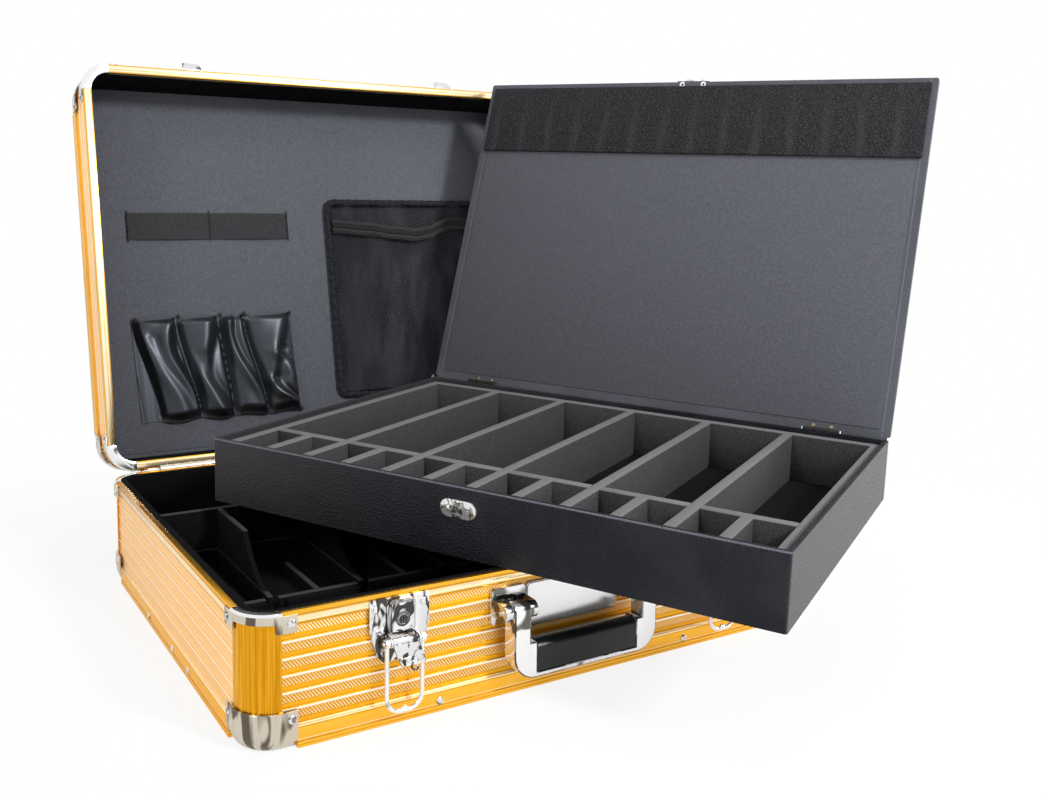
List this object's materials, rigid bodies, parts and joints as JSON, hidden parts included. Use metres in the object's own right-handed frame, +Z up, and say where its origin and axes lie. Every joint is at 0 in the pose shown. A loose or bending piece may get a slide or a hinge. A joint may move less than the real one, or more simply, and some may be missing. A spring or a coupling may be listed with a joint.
{
  "type": "barber case",
  "caption": "Hinged ribbed metal tool case with chrome corners, locking wire-bail latches and a folding handle, with a lift-off compartment tray that has its own hinged lid.",
  "frame": {"origin": "centre of the closed case's footprint, on the surface it stands on", "axes": "+X to the right along the front, +Y towards the hinges, +Z up"},
  "size_m": [0.6257, 0.6334, 0.4368],
  "materials": {
    "gold_panel": "anodised gold, ribbed",
    "gold_trim": "anodised gold extrusion",
    "chrome": "bright plated steel",
    "steel": "zinc plated steel",
    "lining": "black foam lining",
    "divider": "black covered board",
    "lid_cloth": "grey-blue woven lining",
    "elastic": "black elastic webbing",
    "vinyl": "glossy black vinyl",
    "mesh": "black mesh",
    "grip": "soft black grip",
    "leatherette": "grained black leatherette",
    "tray_foam": "grey foam",
    "floor_mat": "dark floor mat",
    "black_foam": "open black foam",
    "lid_panel": "grey lining paper over board"
  },
  "bodies": {
    "base": {"base_long_panels": "gold_panel", "base_side_panels": "gold_panel", "base_bottom": "gold_panel", "base_posts": "gold_trim", "base_edge_trim": "gold_trim", "base_rim_trim": "gold_trim", "base_corners": "chrome", "base_rivets": "chrome", "base_lining": "lining", "cross_divider": "divider", "long_dividers": "divider", "low_dividers": "divider", "floor_pads": "divider", "base_hinges": "steel", "latch_plates": "chrome", "lock_housings": "chrome", "front_pivot_pins": "chrome", "handle_plate": "chrome", "handle_brackets": "chrome"},
    "lock_left": {"lock_cylinder_left": "chrome"},
    "lock_right": {"lock_cylinder_right": "chrome"},
    "lever_left": {"latch_lever_left": "chrome"},
    "lever_right": {"latch_lever_right": "chrome"},
    "bail_left": {"latch_bail_left": "chrome"},
    "bail_right": {"latch_bail_right": "chrome"},
    "handle": {"handle_frame": "chrome", "handle_grip": "grip"},
    "lid": {"lid_top": "gold_panel", "lid_long_panels": "gold_panel", "lid_side_panels": "gold_panel", "lid_posts": "gold_trim", "lid_edge_trim": "gold_trim", "lid_rim_trim": "gold_trim", "lid_corners": "chrome", "lid_rivets": "chrome", "lid_lining": "lining", "lid_board": "lid_cloth", "lid_keepers": "chrome", "lid_hinge_leaves": "steel", "elastic_strap": "elastic", "vinyl_pockets": "vinyl", "mesh_net": "mesh", "mesh_binding": "elastic", "mesh_zip": "elastic"},
    "zip_slider": {"zip_slider": "chrome"},
    "tray": {"tray_box": "leatherette", "tray_lining": "tray_foam", "tray_floor_mat": "floor_mat", "tray_long_dividers": "tray_foam", "tray_front_dividers": "tray_foam", "tray_catch": "chrome", "tray_hinges": "steel", "tray_stop": "chrome"},
    "tray_lid": {"tray_lid_panel": "lid_panel", "tray_lid_foam": "black_foam", "tray_lid_leaves": "steel", "tray_hasp_base": "chrome"},
    "hasp": {"tray_hasp": "chrome"}
  },
  "joints": [
    {"name": "lid_hinge", "type": "hinge", "parent": "base", "child": "lid", "pos_m": [0, 0.1772, 0.084], "axis": [1, 0, 0], "range_deg": [0, 101.45]},
    {"name": "tray_lift_off", "type": "slide", "parent": "base", "child": "tray", "axis": [0, -0.97, 0.243], "range_m": [0, 0.721]},
    {"name": "tray_lid_hinge", "type": "hinge", "parent": "tray", "child": "tray_lid", "pos_m": [0.20008, 0.00853, 0.13704], "axis": [0.4909, -0.8709, -0.0217], "range_deg": [0, 109]},
    {"name": "hasp_hinge", "type": "hinge", "parent": "tray_lid", "child": "hasp", "pos_m": [0.29128, 0.05257, 0.43258], "axis": [0.4909, -0.8709, -0.0217], "range_deg": [0, 150]},
    {"name": "handle_hinge", "type": "hinge", "parent": "base", "child": "handle", "pos_m": [0, -0.188, 0.061], "axis": [-1, 0, 0], "range_deg": [0, 95]},
    {"name": "lever_left_hinge", "type": "hinge", "parent": "base", "child": "lever_left", "pos_m": [-0.129, -0.184, 0.056], "axis": [-1, 0, 0], "range_deg": [0, 125]},
    {"name": "lever_right_hinge", "type": "hinge", "parent": "base", "child": "lever_right", "pos_m": [0.129, -0.184, 0.056], "axis": [-1, 0, 0], "range_deg": [0, 125]},
    {"name": "bail_left_swing", "type": "hinge", "parent": "base", "child": "bail_left", "pos_m": [-0.129, -0.184, 0.056], "axis": [-1, 0, 0], "range_deg": [0, 182]},
    {"name": "bail_right_swing", "type": "hinge", "parent": "base", "child": "bail_right", "pos_m": [0.129, -0.184, 0.056], "axis": [-1, 0, 0], "range_deg": [0, 182.1]},
    {"name": "lock_left_turn", "type": "hinge", "parent": "base", "child": "lock_left", "pos_m": [-0.129, -0.184, 0.0686], "axis": [0, -1, 0], "range_deg": [-90, 0]},
    {"name": "lock_right_turn", "type": "hinge", "parent": "base", "child": "lock_right", "pos_m": [0.129, -0.184, 0.0686], "axis": [0, -1, 0], "range_deg": [-90, 0]},
    {"name": "zip_slide", "type": "slide", "parent": "lid", "child": "zip_slider", "axis": [-1, 0, 0], "range_m": [0, 0.14]}
  ],
  "couplings": [
    {"joint": "tray_lift_off", "follows": "lid_hinge", "m_per_rad": 0.40663},
    {"joint": "bail_right_swing", "follows": "lid_hinge", "ratio": 1.794}
  ]
}
